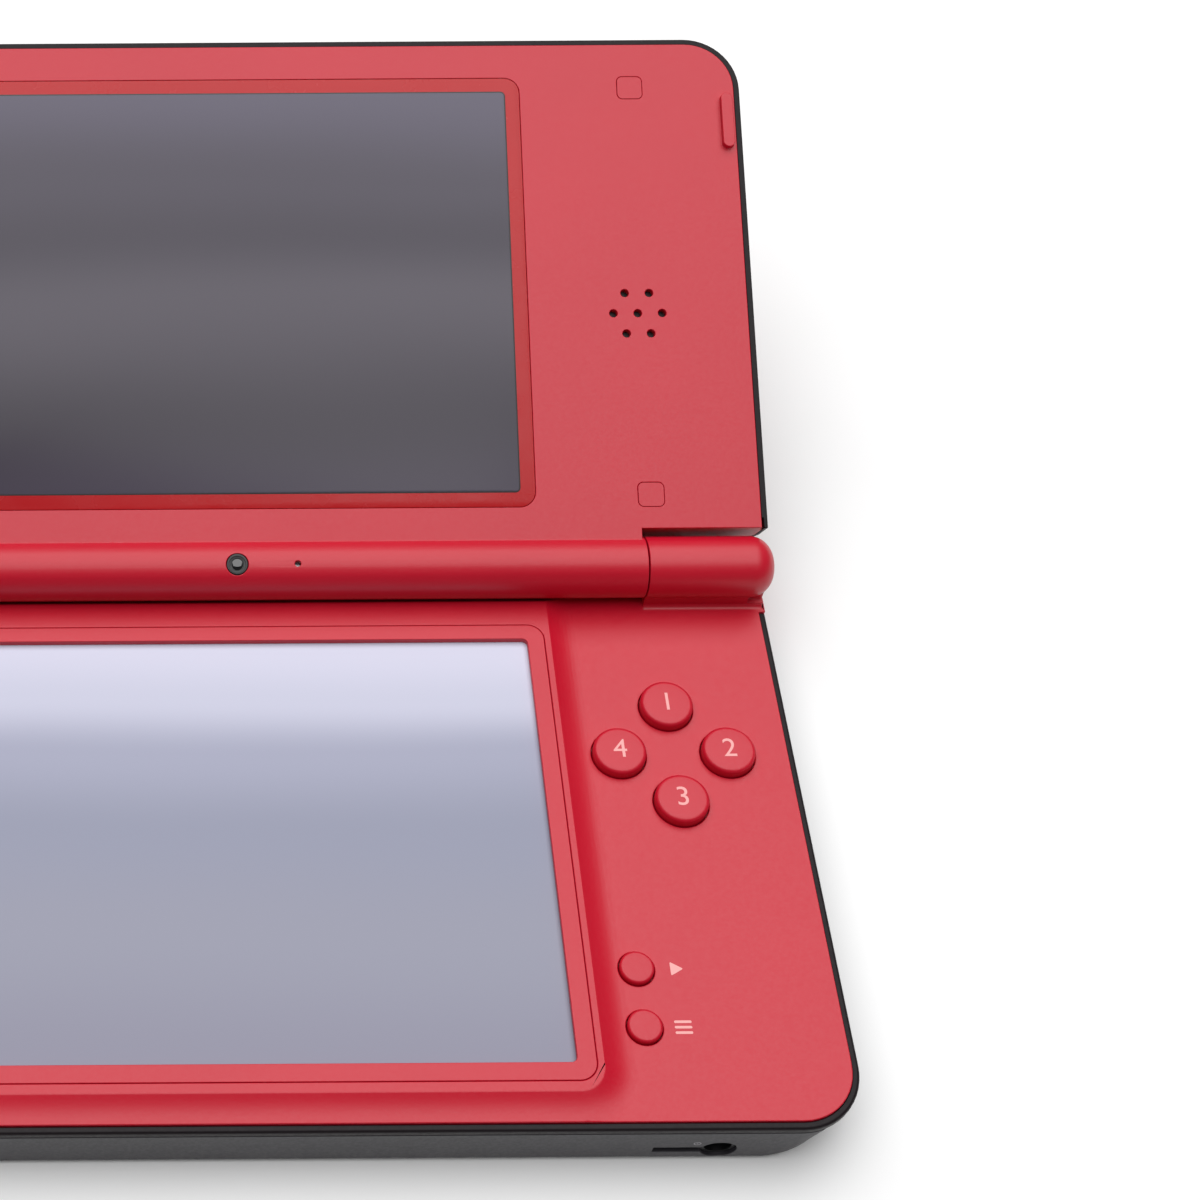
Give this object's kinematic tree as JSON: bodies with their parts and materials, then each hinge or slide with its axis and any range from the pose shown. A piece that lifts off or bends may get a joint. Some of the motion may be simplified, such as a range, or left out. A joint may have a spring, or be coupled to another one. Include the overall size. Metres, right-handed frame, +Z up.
{
  "type": "clamshell handheld game console",
  "caption": "Folding handheld game console with a display in each half, a direction pad, face and shoulder buttons, and a stylus, open at its far hinge stop.",
  "frame": {"origin": "on the table, under the middle of the base", "axes": "+X to the player's right, +Y to the back, +Z up"},
  "size_m": [0.161, 0.1623, 0.0535],
  "materials": {
    "matte_red_plastic": "fine matte texture",
    "gloss_red_plastic": "high gloss",
    "dark_shell_plastic": "fine matte texture",
    "socket_plastic": "plain",
    "tube_plastic": "plain",
    "light_pipe": "clear, milky",
    "foot_rubber": "matte",
    "dome_rubber": "matte",
    "steel": "brushed",
    "board": "solder mask",
    "battery_wrap": "film",
    "cable_film": "film",
    "speaker_black": "plain",
    "screen_panel": "glossy film over a switched-off display",
    "display": "switched-off display",
    "lens_border": "semi-gloss window with a red border",
    "camera_glass": "dark glass"
  },
  "bodies": {
    "base": {"lower_shell": "dark_shell_plastic", "rim_band": "dark_shell_plastic", "faceplate": "matte_red_plastic", "screen_frame": "matte_red_plastic", "touch_panel": "screen_panel", "lower_lcd": "display", "lcd_tray": "steel", "mainboard": "board", "processor_chips": "socket_plastic", "wireless_module": "steel", "battery": "battery_wrap", "battery_cover": "dark_shell_plastic", "battery_cover_screws": "steel", "case_screws": "steel", "rubber_feet": "foot_rubber", "button_membranes": "dome_rubber", "dpad_membrane": "dome_rubber", "indicator_lenses": "light_pipe", "headphone_jack": "socket_plastic", "card_slot": "socket_plastic", "charge_port": "steel", "sd_slot": "steel", "stylus_tube": "tube_plastic", "volume_switch": "socket_plastic", "shoulder_pins": "steel", "shoulder_springs": "steel", "shoulder_switches": "socket_plastic", "hinge_pin": "steel", "hinge_shaft": "steel"},
    "lid": {"lid_inner_shell": "matte_red_plastic", "lid_outer_shell": "dark_shell_plastic", "lid_cover_plate": "gloss_red_plastic", "lens_window": "lens_border", "upper_lcd": "display", "lid_board": "board", "speakers": "speaker_black", "screw_covers": "matte_red_plastic", "lid_screws": "steel", "inner_camera": "camera_glass", "outer_camera": "camera_glass", "microphone": "steel", "flex_cable": "cable_film", "hinge_housing": "steel", "hinge_spring": "steel"},
    "button_right": {"button_right": "matte_red_plastic"},
    "button_bottom": {"button_bottom": "matte_red_plastic"},
    "button_top": {"button_top": "matte_red_plastic"},
    "button_left": {"button_left": "matte_red_plastic"},
    "start_button": {"start_button": "matte_red_plastic"},
    "select_button": {"select_button": "matte_red_plastic"},
    "power_button": {"power_button": "matte_red_plastic"},
    "dpad_pivot": {"dpad_pivot": "dome_rubber"},
    "dpad": {"dpad": "matte_red_plastic"},
    "stylus": {"stylus": "dark_shell_plastic"},
    "volume_rocker": {"volume_rocker": "dark_shell_plastic"},
    "shoulder_left": {"shoulder_left": "matte_red_plastic"},
    "shoulder_right": {"shoulder_right": "matte_red_plastic"},
    "sd_door": {"sd_door": "dark_shell_plastic"}
  },
  "joints": [
    {"name": "lid_hinge", "type": "hinge", "parent": "base", "child": "lid", "pos_m": [0, 0.0388, 0.0156], "axis": [1, 0, 0], "range_deg": [0, 155]},
    {"name": "button_right_press", "type": "slide", "parent": "base", "child": "button_right", "axis": [0, 0, -1], "range_m": [0, 0.0008], "stiffness_N_per_m": 800, "springref_m": -0.0004},
    {"name": "button_bottom_press", "type": "slide", "parent": "base", "child": "button_bottom", "axis": [0, 0, -1], "range_m": [0, 0.0008], "stiffness_N_per_m": 800, "springref_m": -0.0004},
    {"name": "button_top_press", "type": "slide", "parent": "base", "child": "button_top", "axis": [0, 0, -1], "range_m": [0, 0.0008], "stiffness_N_per_m": 800, "springref_m": -0.0004},
    {"name": "button_left_press", "type": "slide", "parent": "base", "child": "button_left", "axis": [0, 0, -1], "range_m": [0, 0.0008], "stiffness_N_per_m": 800, "springref_m": -0.0004},
    {"name": "start_button_press", "type": "slide", "parent": "base", "child": "start_button", "axis": [0, 0, -1], "range_m": [0, 0.0008], "stiffness_N_per_m": 800, "springref_m": -0.0004},
    {"name": "select_button_press", "type": "slide", "parent": "base", "child": "select_button", "axis": [0, 0, -1], "range_m": [0, 0.0008], "stiffness_N_per_m": 800, "springref_m": -0.0004},
    {"name": "power_button_press", "type": "slide", "parent": "base", "child": "power_button", "axis": [0, 0, -1], "range_m": [0, 0.0008], "stiffness_N_per_m": 800, "springref_m": -0.0004},
    {"name": "dpad_tilt_x", "type": "hinge", "parent": "base", "child": "dpad_pivot", "pos_m": [-0.0622, 0.009, 0.0076], "axis": [1, 0, 0], "range_deg": [-3.5, 3.5], "stiffness_Nm_per_rad": 0.2},
    {"name": "dpad_tilt_y", "type": "hinge", "parent": "dpad_pivot", "child": "dpad", "pos_m": [-0.0622, 0.009, 0.0076], "axis": [0, 1, 0], "range_deg": [-3.5, 3.5], "stiffness_Nm_per_rad": 0.2},
    {"name": "stylus_slide", "type": "slide", "parent": "base", "child": "stylus", "axis": [1, 0, 0], "range_m": [0, 0.096]},
    {"name": "volume_rock", "type": "hinge", "parent": "base", "child": "volume_rocker", "pos_m": [-0.0775, -0.0022, 0.0056], "axis": [0, 0, 1], "range_deg": [-3.5, 3.5], "stiffness_Nm_per_rad": 0.1},
    {"name": "shoulder_right_press", "type": "hinge", "parent": "base", "child": "shoulder_right", "pos_m": [0.0572, 0.0436, 0.00565], "axis": [0, 0, -1], "range_deg": [0, 2.6], "stiffness_Nm_per_rad": 0.5, "springref_deg": -1.15},
    {"name": "shoulder_left_press", "type": "hinge", "parent": "base", "child": "shoulder_left", "pos_m": [-0.0572, 0.0436, 0.00565], "axis": [0, 0, 1], "range_deg": [0, 2.6], "stiffness_Nm_per_rad": 0.5, "springref_deg": -1.15},
    {"name": "sd_door_swing", "type": "hinge", "parent": "base", "child": "sd_door", "pos_m": [0.0791, 0.0067, 0.0045], "axis": [0, 0, 1], "range_deg": [0, 100]}
  ]
}
